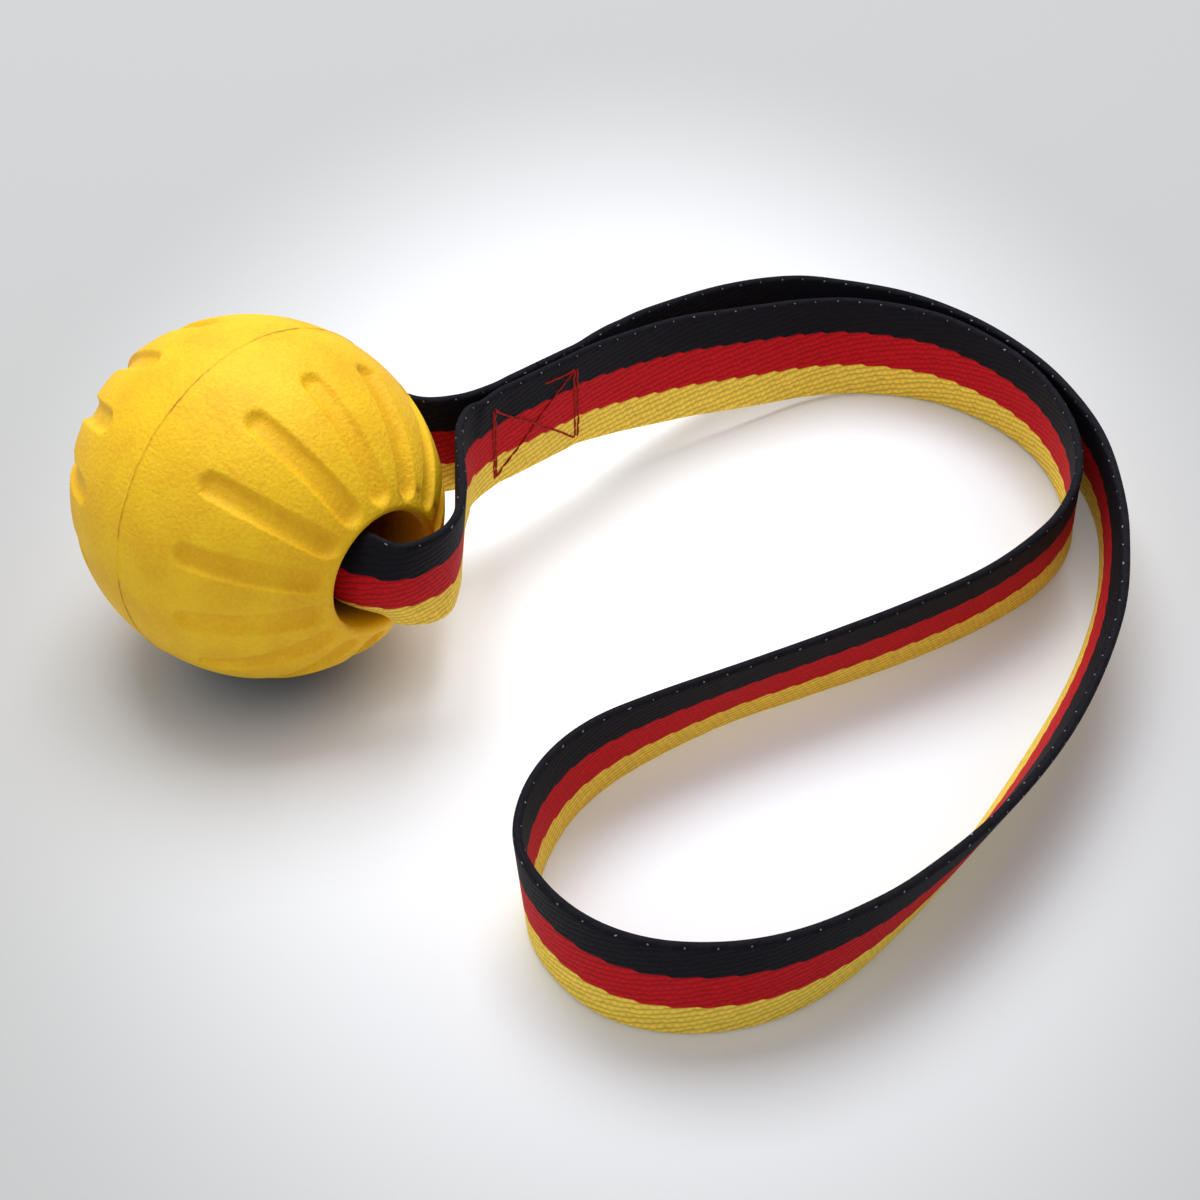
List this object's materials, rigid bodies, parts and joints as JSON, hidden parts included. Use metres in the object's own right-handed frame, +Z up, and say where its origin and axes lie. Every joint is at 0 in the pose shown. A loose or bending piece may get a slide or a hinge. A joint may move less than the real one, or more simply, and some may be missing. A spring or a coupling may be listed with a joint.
{
  "type": "dog tug ball",
  "caption": "Moulded foam ball with pressed grooves and a through bore, on a striped woven strap that is sewn to itself beside the ball and runs on as a hand loop.",
  "frame": {"origin": "on the floor, straight under the middle of the ball", "axes": "+X along the ball's bore, out of the mouth where the strap shows, +Y from the ball towards the sewn seam, +Z up"},
  "size_m": [0.1945, 0.1984, 0.0704],
  "materials": {
    "foam": "moulded closed-cell foam, pebbled and matt",
    "webbing": "twill-woven tape in bands of black, red and gold",
    "thread": "twisted polyester sewing thread"
  },
  "bodies": {
    "ball_loop": {"strap_ball_loop": "webbing", "strap_neck_back": "webbing", "strap_neck_front": "webbing"},
    "ball": {"ball": "foam"},
    "handle": {"strap_sewn_end": "webbing", "strap_handle": "webbing", "needle_thread": "thread", "bobbin_thread": "thread"}
  },
  "joints": [
    {"name": "ball_spin", "type": "hinge", "parent": "ball_loop", "child": "ball", "pos_m": [0, 0, 0.0352], "axis": [1, 0, 0], "continuous": true},
    {"name": "handle_swing", "type": "hinge", "parent": "ball_loop", "child": "handle", "pos_m": [0.0108, 0.0425, 0.028], "axis": [0, 0, 1], "range_deg": [-45, 60], "deforming": ["strap_neck_back", "strap_neck_front"]}
  ]
}
